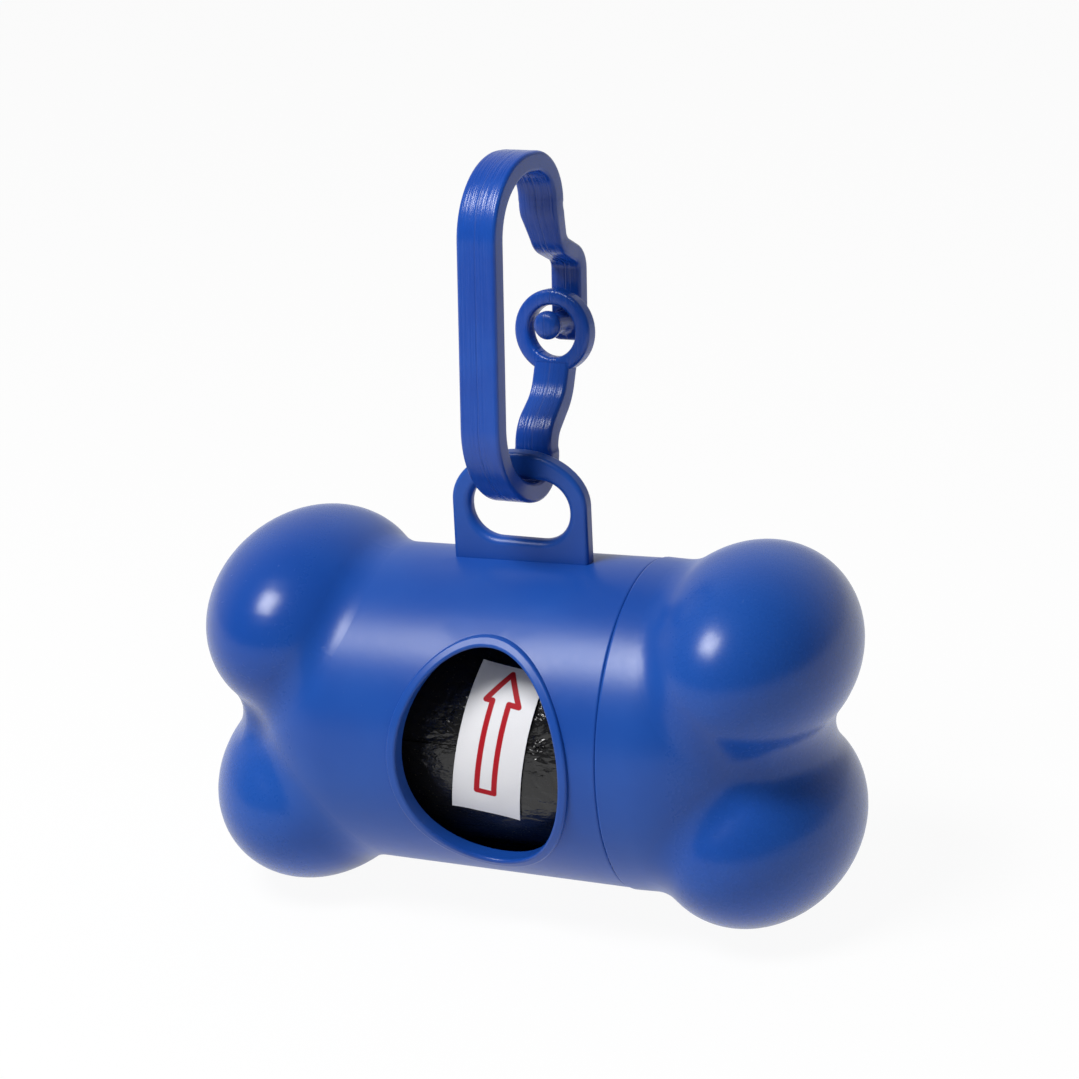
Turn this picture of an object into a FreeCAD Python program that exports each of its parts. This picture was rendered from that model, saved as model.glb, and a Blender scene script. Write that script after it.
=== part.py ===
import FreeCAD, Part
import Sketcher
import math
import os

# Bone-shaped dispenser for rolled waste bags, hanging from a moulded strap clip, in millimetres.
# +X runs along the barrel towards its pull-off cap, -Y is the front with the window, +Z is up.
# The origin is the point inside the top of the clip by which everything hangs.

# Driving dimensions: name, size, meaning
SIZES = (
    ("seam_place", 15.4, "from the middle of the lug to the seam between barrel and cap"),
    ("barrel_length", 46.3, "barrel from its closed end to the seam"),
    ("barrel_radius", 19.5, "barrel radius at the seam"),
    ("barrel_taper", 0.8, "how much slimmer the barrel gets towards its closed end"),
    ("cap_straight", 3.2, "cap from the seam to where its closed end starts to round"),
    ("cap_taper", 0.35, "how much slimmer the cap gets towards its closed end"),
    ("cap_proud", 0.15, "how far the cap stands out past the barrel at the seam"),
    ("end_flat", 6.0, "radius of the flat that the rounding of a closed end leaves"),
    ("wall", 1.6, "wall of barrel and cap"),
    ("lobe_swell", 3.0, "how far the lobes stand out above and below the barrel"),
    ("lobe_shy", 1.3, "how far the lobes stay behind the barrel's front and rear"),
    ("lobe_overlap", 1.6, "how far each lobe reaches past the barrel axis"),
    ("lobe_dip", 2.4, "how far a closed end stays behind the crease between its two lobes"),
    ("lobe_fillet", 5.5, "hollow fillet where lobes meet each other and the barrel or the cap"),
    ("seam_round", 0.3, "softened edges at the seam"),
    ("neck_length", 6.0, "neck of the barrel inside the cap"),
    ("neck_wall", 1.4, "wall of the neck"),
    ("neck_clearance", 0.08, "sliding gap between neck and cap"),
    ("neck_root", 4.0, "inner thickening behind the seam that carries the neck"),
    ("root_slope", 2.0, "sloping part of that thickening"),
    ("skirt_wall", 1.5, "wall of the cap round the neck"),
    ("skirt_relief", 0.5, "free depth of the cap's bore past the neck"),
    ("lug_side", 2.25, "lug on each side of its eye"),
    ("lug_top", 3.3, "lug above its eye"),
    ("lug_thickness", 2.2, "lug across the barrel"),
    ("lug_arch", 6.3, "rise of the lug's arch above its shoulders"),
    ("lug_round", 0.5, "softened outline of the lug"),
    ("eye_width", 12.4, "eye of the lug along the barrel"),
    ("eye_height", 7.35, "eye of the lug"),
    ("eye_sill", 2.3, "bottom of the eye above the barrel"),
    ("eye_corner", 3.6, "corner radius of the eye"),
    ("eye_round", 0.9, "rounded bearing edge of the eye"),
    ("eye_gap", 0.35, "gap between the clip's bow and the top of the eye"),
    ("window_place", 0.8, "middle of the window along the barrel"),
    ("window_width", 20.3, "clear width of the dispensing window"),
    ("window_height", 26.3, "clear height of the dispensing window"),
    ("rim_width", 1.15, "raised rim round the window"),
    ("rim_rise", 0.55, "height of the rim above the barrel"),
    ("rim_round", 0.3, "softened edges of the rim"),
    ("clip_twist", 6.9, "how far the clip hangs turned in the eye, in degrees"),
    ("clip_tilt", 2.4, "how far the clip leans along the barrel, in degrees"),
    ("clip_lean", 7.6, "how far the clip leans to the rear, in degrees"),
    ("hang_dip", 1.3, "how far the leaning clip rises above the point by which it hangs"),
    ("clip_inner_height", 36.1, "clear height inside the clip"),
    ("strap_width", 5.1, "clip strap across"),
    ("strap_thickness", 2.4, "clip strap through"),
    ("strap_edge", 0.7, "rounded edges of the strap"),
    ("bow_front_radius", 8.5, "front bends of the clip, at the middle of the strap"),
    ("bow_rear_radius", 4.05, "rear bend at the bottom of the clip"),
    ("crook_radius", 5.1, "rear bend at the top of the clip"),
    ("crook_flat", 1.0, "straight top of the clip between its two bends"),
    ("hinge_gap", 0.1, "gap in front of each flexing arm's round end"),
    ("stud_arm_width", 3.8, "upper arm across"),
    ("stud_arm_thickness", 1.9, "upper arm through"),
    ("stud_arm_step", 6.6, "step of the upper arm to the rear"),
    ("stud_arm_upper", 3.1, "straight upper run of the upper arm"),
    ("stud_arm_slope", 2.4, "drop of the sloping run of the upper arm"),
    ("stud_arm_tail", 1.4, "upper arm below the axis of its stud"),
    ("stud_arm_bend", 2.2, "bends of the upper arm"),
    ("stud_radius", 1.3, "shank of the stud"),
    ("stud_head_radius", 1.7, "head of the stud"),
    ("stud_head_length", 1.4, "head of the stud along its axis"),
    ("stud_head_round", 0.8, "rounded nose of the stud"),
    ("stud_reach", 0.25, "gap between the stud's head and the ring"),
    ("stud_lift", 0.85, "stud axis above the middle of the ring"),
    ("ring_arm_width", 4.5, "lower arm across"),
    ("ring_arm_thickness", 2.6, "lower arm through"),
    ("ring_arm_foot", 0.9, "straight foot of the lower arm"),
    ("ring_arm_lean", 3.85, "step to the rear of the leaning run of the lower arm"),
    ("ring_arm_rise", 3.7, "rise of that leaning run"),
    ("ring_arm_tilt", 1.1, "step to the rear of the upper run of the lower arm"),
    ("ring_arm_upper", 3.6, "rise of that upper run"),
    ("ring_arm_bend", 2.0, "bends of the lower arm"),
    ("ring_radius", 4.8, "outside of the ring"),
    ("ring_bore", 3.3, "hole of the ring"),
    ("ring_depth", 2.2, "ring along its axis"),
    ("ring_round", 0.4, "softened edges of the ring"),
    ("roll_drop", 2.05, "roll's axis below the barrel axis, where it lies in the neck"),
    ("roll_gap", 0.3, "gap between the roll and the neck or the ends that it lies in"),
    ("roll_flank", 50.0, "how far round from below the lobes give the roll's ends room, in degrees"),
    ("core_radius", 5.5, "outside of the paper core"),
    ("core_wall", 1.2, "wall of the paper core"),
    ("wrap_gap", 0.05, "air between one bag's wrap and the next"),
    ("perforation", 0.3, "slit between one bag and the next"),
    ("label_width", 8.4, "paper label along the roll"),
    ("label_span", 75.0, "label round the roll, in degrees"),
    ("label_rise", 13.2, "middle of the label above the roll's front, in degrees"),
    ("label_place", 0.6, "middle of the label along the barrel"),
    ("label_tilt", 9.0, "how far the label is stuck on askew, in degrees"),
    ("label_thickness", 0.15, "paper label"),
    ("overrun", 3.0, "how far cutting shapes reach past what they cut"),
)
BAG_COUNT = 15
NEAR = 1e-4

doc = FreeCAD.newDocument("BagDispenser")
sheet = doc.addObject("Spreadsheet::Sheet", "Sizes")
for row, (alias, number, meaning) in enumerate(SIZES, start=1):
    sheet.set(f"A{row}", meaning)
    sheet.set(f"B{row}", str(number))
    sheet.setAlias(f"B{row}", alias)
doc.recompute()

# Places and sizes that several pieces share, as rules on the sheet
FOOT = "(Sizes.barrel_radius - Sizes.barrel_taper)"
FOOT_ROUND = f"({FOOT} - Sizes.end_flat)"
CAP_RADIUS = "(Sizes.barrel_radius + Sizes.cap_proud)"
CAP_TIP = f"({CAP_RADIUS} - Sizes.cap_taper)"
CAP_ROUND = f"({CAP_TIP} - Sizes.end_flat)"
CLOSED_END = "(Sizes.seam_place - Sizes.barrel_length)"
CAP_END = f"(Sizes.seam_place + Sizes.cap_straight + {CAP_ROUND})"
LOBE = "((Sizes.barrel_radius + Sizes.lobe_swell + Sizes.lobe_overlap) / 2)"
LOBE_DEPTH = "(Sizes.barrel_radius - Sizes.lobe_shy)"
LOBE_SPREAD = f"({LOBE} - Sizes.lobe_overlap)"
LOBE_INSET = f"(sqrt({LOBE} ^ 2 - {LOBE_SPREAD} ^ 2) - Sizes.lobe_dip)"
EYE_SILL = "(Sizes.barrel_radius + Sizes.eye_sill)"
EYE_TOP = f"({EYE_SILL} + Sizes.eye_height)"
AXIS = f"(Sizes.hang_dip + Sizes.eye_gap - Sizes.clip_inner_height - {EYE_TOP})"
BORE = f"({CAP_RADIUS} - Sizes.skirt_wall)"
NECK = f"({BORE} - Sizes.neck_clearance)"
NECK_INSIDE = f"({NECK} - Sizes.neck_wall)"
NECK_END = "(Sizes.seam_place + Sizes.neck_length)"
ROOT = "(Sizes.seam_place - Sizes.neck_root)"
TAPER = "(Sizes.barrel_taper / Sizes.barrel_length)"
ROOT_RADIUS = f"(Sizes.barrel_radius - {TAPER} * Sizes.neck_root - Sizes.wall)"

# The roll fills the neck apart from its drop, and reaches up to the rounded ends
ROLL = f"({NECK_INSIDE} - Sizes.roll_gap - Sizes.roll_drop)"
ROLL_AXIS = f"({AXIS} - Sizes.roll_drop)"
ROLL_EDGE = (f"(sqrt({ROLL} ^ 2 + Sizes.roll_drop ^ 2"
             f" + 2 * {ROLL} * Sizes.roll_drop * cos(Sizes.roll_flank * 1 deg)) - Sizes.end_flat)")
LEFT_DEPTH = f"({FOOT_ROUND} - sqrt(({FOOT_ROUND} - Sizes.wall) ^ 2 - {ROLL_EDGE} ^ 2))"
RIGHT_DEPTH = f"({CAP_ROUND} - sqrt(({CAP_ROUND} - Sizes.wall) ^ 2 - {ROLL_EDGE} ^ 2))"
ROLL_START = f"({CLOSED_END} + {LEFT_DEPTH} + Sizes.roll_gap)"
ROLL_LENGTH = f"({CAP_END} - {RIGHT_DEPTH} - Sizes.roll_gap - {ROLL_START})"

FRONT = FreeCAD.Vector(0, -1, 0)
UPRIGHT = FreeCAD.Rotation()
ABOUT_FACE = FreeCAD.Rotation(FreeCAD.Vector(0, 0, 1), 180)
ALONG_X = FreeCAD.Rotation(FreeCAD.Vector(0, 1, 0), 90)
ALONG_Y = FreeCAD.Rotation(FreeCAD.Vector(1, 0, 0), -90)
FACING_FRONT = FreeCAD.Rotation(FreeCAD.Vector(1, 0, 0), 90)
FRONT_TALL = FACING_FRONT.multiply(FreeCAD.Rotation(FreeCAD.Vector(0, 0, 1), 90))


def value(rule):
    """The number that a rule on the sheet gives."""
    return float(sheet.evalExpression(rule))


def size(alias):
    """A driving dimension from the sheet."""
    return value(f"Sizes.{alias}")


def solid(kind, name, rules, place=("0", "0", "0"), turn=UPRIGHT):
    """An object whose sizes and place follow rules on the sheet."""
    item = doc.addObject(kind, name)
    item.Placement = FreeCAD.Placement(FreeCAD.Vector(), turn)
    for prop, rule in rules.items():
        item.setExpression(prop, rule)
    for direction, rule in zip("xyz", place):
        item.setExpression(f"Placement.Base.{direction}", rule)
    return item


def rod(name, radius, start, length, height=AXIS):
    """A cylinder along X."""
    rules = {"Radius": radius, "Height": length}
    return solid("Part::Cylinder", name, rules, (start, "0", height), ALONG_X)


def fuse(name, *items):
    joined = doc.addObject("Part::MultiFuse", name)
    joined.Shapes = list(items)
    joined.Refine = True
    return joined


def pair(kind, name, base, tool):
    """A cut or a common part of two objects."""
    result = doc.addObject(kind, name)
    result.Base = base
    result.Tool = tool
    return result


def rounded(name, base, radius_for):
    """Fillets the edges of base for which radius_for(edge, the faces beside it) isn't zero."""
    doc.recompute()
    shape = base.Shape
    chosen = []
    for number, edge in enumerate(shape.Edges, start=1):
        radius = radius_for(edge, shape.ancestorsOfType(edge, Part.Face))
        if radius:
            chosen.append((number, radius, radius))
    result = doc.addObject("Part::Fillet", name)
    result.Base = base
    result.Edges = chosen
    doc.recompute()
    return result


def fillet(name, base, radius, wanted):
    """Fillets the edges of base that are wanted with one radius."""
    return rounded(name, base, lambda edge, faces: radius if wanted(edge, faces) else 0)


def is_ring_at(edge, place):
    """Whether an edge is a circle round an axis along X at this place."""
    if edge.Degenerated or not isinstance(edge.Curve, Part.Circle):
        return False
    return abs(edge.CenterOfMass.x - place) < NEAR


def pill(name, closed, opened, closed_radius, open_radius, end_round, lip_round="0"):
    """A tapered barrel along X, with one rounded closed end and one open end with a softened lip."""
    ends = sorted(((value(closed), closed, closed_radius), (value(opened), opened, open_radius)))
    (left, left_rule, left_radius), (right, right_rule, right_radius) = ends
    rules = {"Radius1": left_radius, "Radius2": right_radius, "Height": f"{right_rule} - {left_rule}"}
    cone = solid("Part::Cone", f"{name}_cone", rules, (left_rule, "0", AXIS), ALONG_X)

    def radius_for(edge, faces):
        if is_ring_at(edge, value(closed)):
            return value(end_round)
        return value(lip_round) if is_ring_at(edge, value(opened)) else 0

    return rounded(f"{name}_pill", cone, radius_for)


def lobes(name, place, turn, skin="0"):
    """The two egg-shaped lobes at one end of the bone, inside a skin, longest from front to rear."""
    round_radius = f"{LOBE} - {skin}"
    rules = {"Radius1": round_radius, "Radius2": round_radius, "Radius3": f"{LOBE_DEPTH} - {skin}"}
    up = solid("Part::Ellipsoid", f"{name}_upper", rules, (place, "0", f"{AXIS} + {LOBE_SPREAD}"), turn)
    down = solid("Part::Ellipsoid", f"{name}_lower", rules, (place, "0", f"{AXIS} - {LOBE_SPREAD}"), turn)
    return [up, down]


def meets_lobe(edge, faces):
    """Whether an edge runs between a lobe and another lobe or the barrel."""
    eggs = [face.CenterOfMass.z for face in faces if isinstance(face.Surface, Part.BSplineSurface)]
    if len(faces) == 2 and len(eggs) == 2:
        return abs(eggs[0] - eggs[1]) > value(LOBE)
    return len(faces) == 2 and len(eggs) == 1


def ellipse_block(name, major, minor, place, turn, length, symmetric):
    """An elliptical block that stands out to the front from the plane of its outline."""
    outline = solid("Part::Ellipse", f"{name}_outline", {"MajorRadius": major, "MinorRadius": minor},
                    place, turn)
    block = doc.addObject("Part::Extrusion", name)
    block.Base = outline
    block.DirMode = "Custom"
    block.Dir = FRONT
    block.Solid = True
    block.Symmetric = symmetric
    block.setExpression("LengthFwd", length)
    return block


# The lug is a thin arched plate with a round-cornered eye, in the plane of the lobes
HALF_LUG = "Sizes.lug_thickness / 2"
LUG_HALF_WIDTH = "(Sizes.eye_width / 2 + Sizes.lug_side)"
LUG_SHOULDER = f"({EYE_TOP} + Sizes.lug_top - Sizes.lug_arch)"
lug_plate = solid("Part::Box", "lug_plate", {
    "Length": f"2 * {LUG_HALF_WIDTH}", "Width": "Sizes.lug_thickness", "Height": LUG_SHOULDER},
    (f"-{LUG_HALF_WIDTH}", f"-{HALF_LUG}", AXIS))
lug_arch = ellipse_block("lug_arch", LUG_HALF_WIDTH, "Sizes.lug_arch",
                         ("0", "0", f"{AXIS} + {LUG_SHOULDER}"), FACING_FRONT,
                         "Sizes.lug_thickness", True)
eye_block = solid("Part::Box", "eye_block", {
    "Length": "Sizes.eye_width", "Width": "2 * Sizes.overrun", "Height": "Sizes.eye_height"},
    ("-Sizes.eye_width / 2", "-Sizes.overrun", f"{AXIS} + {EYE_SILL}"))


def runs_through(edge, faces):
    """Whether a straight edge runs from front to rear."""
    ends = edge.Vertexes
    return abs(ends[0].Y - ends[-1].Y) > NEAR


eye = fillet("eye", eye_block, size("eye_corner"), runs_through)
lug_blank = pair("Part::Cut", "lug_blank", fuse("lug_outline", lug_plate, lug_arch), eye)


def on_lug_face(edge):
    half = value(HALF_LUG)
    return all(abs(abs(vertex.Y) - half) < NEAR for vertex in edge.Vertexes) and not runs_through(edge, [])


def in_eye(edge):
    middle = edge.BoundBox.Center
    eye_middle = value(f"{AXIS} + {EYE_SILL} + Sizes.eye_height / 2")
    return (abs(middle.x) < size("eye_width") / 2 + NEAR
            and abs(middle.z - eye_middle) < size("eye_height") / 2 + NEAR
            and edge.BoundBox.XLength < size("eye_width"))


def is_eye_edge(edge, faces):
    return on_lug_face(edge) and in_eye(edge)


def is_lug_outline(edge, faces):
    return on_lug_face(edge) and not in_eye(edge) and edge.BoundBox.ZMax > value(AXIS) + NEAR


lug_bearing = fillet("lug_bearing", lug_blank, size("eye_round"), is_eye_edge)
lug = fillet("lug", lug_bearing, size("lug_round"), is_lug_outline)

# The barrel is closed on the left, with two lobes, and ends on the right in a neck for the cap
LEFT_LOBES = f"({CLOSED_END} + {LOBE_INSET})"
barrel_pill = pill("barrel", CLOSED_END, "Sizes.seam_place", FOOT, "Sizes.barrel_radius", FOOT_ROUND,
                   "Sizes.seam_round")
barrel_bone = fuse("barrel_bone", barrel_pill, *lobes("left_lobe", LEFT_LOBES, UPRIGHT))
barrel_blend = fillet("barrel_blend", barrel_bone, size("lobe_fillet"), meets_lobe)
neck = rod("neck", NECK, ROOT, f"{NECK_END} - {ROOT}")

rim_skin = solid("Part::Cone", "rim_skin", {
    "Radius1": f"{FOOT} + Sizes.rim_rise", "Radius2": "Sizes.barrel_radius + Sizes.rim_rise",
    "Height": "Sizes.barrel_length"}, (CLOSED_END, "0", AXIS), ALONG_X)
WINDOW_PLACE = ("Sizes.window_place", "0", AXIS)
WINDOW_REACH = "Sizes.barrel_radius + Sizes.overrun"
rim_block = ellipse_block("rim_block", "Sizes.window_height / 2 + Sizes.rim_width",
                          "Sizes.window_width / 2 + Sizes.rim_width", WINDOW_PLACE, FRONT_TALL,
                          WINDOW_REACH, False)
window = ellipse_block("window", "Sizes.window_height / 2", "Sizes.window_width / 2", WINDOW_PLACE,
                       FRONT_TALL, WINDOW_REACH, False)
rim = pair("Part::Common", "rim", rim_block, rim_skin)

barrel_room = pill("barrel_room", f"({CLOSED_END} + Sizes.wall)", ROOT, f"({FOOT} - Sizes.wall)",
                   ROOT_RADIUS, f"{FOOT_ROUND} - Sizes.wall")
root_slope = solid("Part::Cone", "root_slope", {
    "Radius1": ROOT_RADIUS, "Radius2": NECK_INSIDE, "Height": "Sizes.root_slope"},
    (ROOT, "0", AXIS), ALONG_X)
neck_room = rod("neck_room", NECK_INSIDE, ROOT, f"{NECK_END} - {ROOT} + Sizes.overrun")
barrel_hollow = fuse("barrel_hollow", barrel_room, root_slope, neck_room,
                     *lobes("left_room", LEFT_LOBES, UPRIGHT, "Sizes.wall"))
barrel_solid = fuse("barrel_solid", barrel_blend, neck, rim, lug)
barrel_open = pair("Part::Cut", "barrel_open", pair("Part::Cut", "barrel_walls", barrel_solid,
                                                    barrel_hollow), window)


def is_rim_edge(edge, faces):
    """Whether an edge lies on the raised face of the window's rim."""
    taper = value(TAPER)
    foot = value(FOOT) + size("rim_rise")
    for vertex in edge.Vertexes:
        radius = math.hypot(vertex.Y, vertex.Z - value(AXIS))
        if abs(radius - foot - taper * (vertex.X - value(CLOSED_END))) > NEAR:
            return False
    return True


barrel_shell = fillet("barrel_shell", barrel_open, size("rim_round"), is_rim_edge)

# The cap slides over the neck and carries the other two lobes
RIGHT_LOBES = f"({CAP_END} - {LOBE_INSET})"
cap_pill = pill("cap", CAP_END, "Sizes.seam_place", CAP_TIP, CAP_RADIUS, CAP_ROUND, "Sizes.seam_round")
cap_bone = fuse("cap_bone", cap_pill, *lobes("right_lobe", RIGHT_LOBES, ABOUT_FACE))
cap_blend = fillet("cap_blend", cap_bone, size("lobe_fillet"), meets_lobe)
cap_room = pill("cap_room", f"({CAP_END} - Sizes.wall)", "Sizes.seam_place", f"({CAP_TIP} - Sizes.wall)",
                f"({CAP_RADIUS} - Sizes.wall)", f"{CAP_ROUND} - Sizes.wall")
cap_bore = rod("cap_bore", BORE, "Sizes.seam_place - Sizes.overrun",
               "Sizes.neck_length + Sizes.skirt_relief + Sizes.overrun")
cap_hollow = fuse("cap_hollow", cap_room, cap_bore,
                  *lobes("right_room", RIGHT_LOBES, ABOUT_FACE, "Sizes.wall"))
end_cap = pair("Part::Cut", "cap_walls", cap_blend, cap_hollow)

# The clip is one bent strap in a plane across the barrel, split where its two rear arms flex
TOP = "(Sizes.strap_thickness / 2)"
BOTTOM = "(-Sizes.clip_inner_height - Sizes.strap_thickness / 2)"
CROOK_REAR = "(Sizes.crook_flat + Sizes.crook_radius)"
CROOK_END = f"({TOP} - Sizes.crook_radius)"
BOW_END = f"({BOTTOM} + Sizes.bow_rear_radius)"
STUD_PIVOT = f"({CROOK_END} - Sizes.hinge_gap - Sizes.stud_arm_thickness / 2)"
STUD_KNEE = f"({STUD_PIVOT} - Sizes.stud_arm_upper)"
STUD_REAR = f"({CROOK_REAR} + Sizes.stud_arm_step)"
RING_PIVOT = f"({BOW_END} + Sizes.hinge_gap + Sizes.ring_arm_thickness / 2)"
RING_FOOT = f"({RING_PIVOT} + Sizes.ring_arm_foot)"
RING_KNEE = f"({RING_FOOT} + Sizes.ring_arm_rise)"
RING_KNEE_REAR = "(Sizes.bow_rear_radius + Sizes.ring_arm_lean)"
RING_ARM_END = f"({RING_KNEE} + Sizes.ring_arm_upper)"
RING_REAR = f"({RING_KNEE_REAR} + Sizes.ring_arm_tilt)"
RING_UP = f"({RING_ARM_END} + (Sizes.ring_radius + Sizes.ring_bore) / 2)"
STUD_UP = f"({RING_UP} + Sizes.stud_lift)"
HEAD_REAR = f"({RING_REAR} - Sizes.ring_depth / 2 - Sizes.stud_reach)"
HEAD_FRONT = f"({HEAD_REAR} - Sizes.stud_head_length)"


def bent_line(name, corners):
    """A path of lines and tangent arcs in the clip's plane, through corners (rear, up, bend radius)."""
    points = [FreeCAD.Vector(0, value(rear), value(up)) for rear, up, bend in corners]
    edges = []
    last = points[0]
    for before, corner, after, (rear, up, bend) in zip(points, points[1:], points[2:], corners[1:]):
        radius = value(bend)
        back = (before - corner).normalize()
        ahead = (after - corner).normalize()
        half_angle = back.getAngle(ahead) / 2
        run_in = corner + back * (radius / math.tan(half_angle))
        run_out = corner + ahead * (radius / math.tan(half_angle))
        inward = (back + ahead).normalize()
        middle = corner + inward * (radius / math.sin(half_angle) - radius)
        if (run_in - last).Length > NEAR:
            edges.append(Part.LineSegment(last, run_in).toShape())
        edges.append(Part.Arc(run_in, middle, run_out).toShape())
        last = run_out
    if (points[-1] - last).Length > NEAR:
        edges.append(Part.LineSegment(last, points[-1]).toShape())
    path = doc.addObject("Part::Feature", name)
    path.Shape = Part.Wire(edges)
    return path


def strap_section(name, width, thickness, rear, up):
    """The level round-edged outline from which a strap sets out."""
    edge = size("strap_edge")
    across = width / 2 - edge
    through = thickness / 2 - edge
    arcs = []
    for quarter, (side, face) in enumerate(((1, 1), (-1, 1), (-1, -1), (1, -1))):
        turns = [math.radians(90 * quarter + part) for part in (0, 45, 90)]
        points = [FreeCAD.Vector(side * across + edge * math.cos(turn),
                                 rear + face * through + edge * math.sin(turn), up) for turn in turns]
        arcs.append(points)
    edges = []
    for points, following in zip(arcs, arcs[1:] + arcs[:1]):
        edges.append(Part.Arc(*points).toShape())
        edges.append(Part.LineSegment(points[-1], following[0]).toShape())
    section = doc.addObject("Part::Feature", name)
    section.Shape = Part.Wire(edges)
    return section


def strap(name, width, thickness, corners):
    """A strap of one section along a bent line, upright at its start."""
    path = bent_line(f"{name}_path", corners)
    rear, up, bend = corners[0]
    section = strap_section(f"{name}_section", size(width), size(thickness), value(rear), value(up))
    swept = doc.addObject("Part::Sweep", f"{name}_strap")
    swept.Sections = [section]
    swept.Spine = (path, [f"Edge{number}" for number in range(1, len(path.Shape.Edges) + 1)])
    swept.Solid = True
    return swept


def knuckle(name, width, thickness, rear, up):
    """The round end of an arm, across the strap."""
    rules = {"Radius": f"Sizes.{thickness} / 2", "Height": f"Sizes.{width}"}
    return solid("Part::Cylinder", name, rules, (f"-Sizes.{width} / 2", rear, up), ALONG_X)


def peg(name, radius, start, end, up):
    """A cylinder from front to rear in the clip's plane."""
    rules = {"Radius": radius, "Height": f"({end}) - ({start})"}
    return solid("Part::Cylinder", name, rules, ("0", start, up), ALONG_Y)


# The clip leans round the place where its bow hangs in the eye
CLIP_TURN = FreeCAD.Rotation(-size("clip_twist"), -size("clip_tilt"), -size("clip_lean"))
CLIP_HEEL = FreeCAD.Vector(0, 0, -size("clip_inner_height"))
CLIP_PLACE = FreeCAD.Placement(FreeCAD.Vector(0, 0, size("hang_dip")), CLIP_TURN, CLIP_HEEL)


def turned(piece):
    """Gives a piece of the clip the angle at which the clip hangs in the eye."""
    piece.Placement = CLIP_PLACE
    return piece


def any_circle(edge, faces):
    return isinstance(edge.Curve, Part.Circle)


NO_BEND = "0"
SPINE = "-Sizes.bow_front_radius"
clip_spine = turned(strap("spine", "strap_width", "strap_thickness", (
    (CROOK_REAR, CROOK_END, NO_BEND),
    (CROOK_REAR, TOP, "Sizes.crook_radius"),
    (SPINE, TOP, "Sizes.bow_front_radius"),
    (SPINE, BOTTOM, "Sizes.bow_front_radius"),
    ("Sizes.bow_rear_radius", BOTTOM, "Sizes.bow_rear_radius"),
    ("Sizes.bow_rear_radius", BOW_END, NO_BEND))))

stud_arm_strap = strap("stud_arm", "stud_arm_width", "stud_arm_thickness", (
    (CROOK_REAR, STUD_PIVOT, NO_BEND),
    (CROOK_REAR, STUD_KNEE, "Sizes.stud_arm_bend"),
    (STUD_REAR, f"{STUD_KNEE} - Sizes.stud_arm_slope", "Sizes.stud_arm_bend"),
    (STUD_REAR, f"{STUD_UP} - Sizes.stud_arm_tail", NO_BEND)))
stud_knuckle = knuckle("stud_knuckle", "stud_arm_width", "stud_arm_thickness", CROOK_REAR, STUD_PIVOT)
stud_tail = knuckle("stud_tail", "stud_arm_width", "stud_arm_thickness", STUD_REAR,
                    f"{STUD_UP} - Sizes.stud_arm_tail")
stud_shank = peg("stud_shank", "Sizes.stud_radius", HEAD_REAR, STUD_REAR, STUD_UP)
stud_head_block = peg("stud_head_block", "Sizes.stud_head_radius", HEAD_FRONT, HEAD_REAR, STUD_UP)


def is_nose(edge, faces):
    """Whether an edge is the front edge of the stud's head."""
    return any_circle(edge, faces) and abs(edge.CenterOfMass.y - value(HEAD_FRONT)) < NEAR


stud_head = fillet("stud_head", stud_head_block, size("stud_head_round"), is_nose)
clip_stud_arm = turned(fuse("stud_arm_whole", stud_arm_strap, stud_knuckle, stud_tail, stud_shank,
                            stud_head))

ring_arm_strap = strap("ring_arm", "ring_arm_width", "ring_arm_thickness", (
    ("Sizes.bow_rear_radius", RING_PIVOT, NO_BEND),
    ("Sizes.bow_rear_radius", RING_FOOT, "Sizes.ring_arm_bend"),
    (RING_KNEE_REAR, RING_KNEE, "Sizes.ring_arm_bend"),
    (RING_REAR, RING_ARM_END, NO_BEND)))
ring_knuckle = knuckle("ring_knuckle", "ring_arm_width", "ring_arm_thickness", "Sizes.bow_rear_radius",
                       RING_PIVOT)
RING_FRONT = f"({RING_REAR} - Sizes.ring_depth / 2)"
RING_BACK = f"({RING_REAR} + Sizes.ring_depth / 2)"
ring_disc = peg("ring_disc", "Sizes.ring_radius", RING_FRONT, RING_BACK, RING_UP)
ring_hole = peg("ring_hole", "Sizes.ring_bore", f"{RING_FRONT} - Sizes.overrun",
                f"{RING_BACK} + Sizes.overrun", RING_UP)
ring = fillet("ring", pair("Part::Cut", "ring_blank", ring_disc, ring_hole), size("ring_round"), any_circle)
clip_ring_arm = turned(fuse("ring_arm_whole", ring_arm_strap, ring_knuckle, ring))

# The roll lies on the neck: a paper core, then bag after bag in one spiral, then a paper label
core_body = doc.addObject("PartDesign::Body", "core_body")
core_sketch = core_body.newObject("Sketcher::SketchObject", "core_sketch")
core_plane = [item for item in core_body.Origin.OriginFeatures if item.Role == "YZ_Plane"][0]
core_sketch.AttachmentSupport = (core_plane, [""])
core_sketch.MapMode = "FlatFace"
for rule in ("Sizes.core_radius", "Sizes.core_radius - Sizes.core_wall"):
    circle = Part.Circle(FreeCAD.Vector(), FreeCAD.Vector(0, 0, 1), value(rule))
    ring_line = core_sketch.addGeometry(circle)
    core_sketch.addConstraint(Sketcher.Constraint("Coincident", ring_line, 3, -1, 1))
    bound = core_sketch.addConstraint(Sketcher.Constraint("Radius", ring_line, value(rule)))
    core_sketch.setExpression(f"Constraints[{bound}]", rule)
core_tube = core_body.newObject("PartDesign::Pad", "core_tube")
core_tube.Profile = core_sketch
core_tube.setExpression("Length", ROLL_LENGTH)
core_body.setExpression("Placement.Base.x", ROLL_START)
core_body.setExpression("Placement.Base.z", ROLL_AXIS)

WRAP = (value(ROLL) - size("core_radius")) / (BAG_COUNT + 1)
FILM = WRAP - size("wrap_gap")


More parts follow.
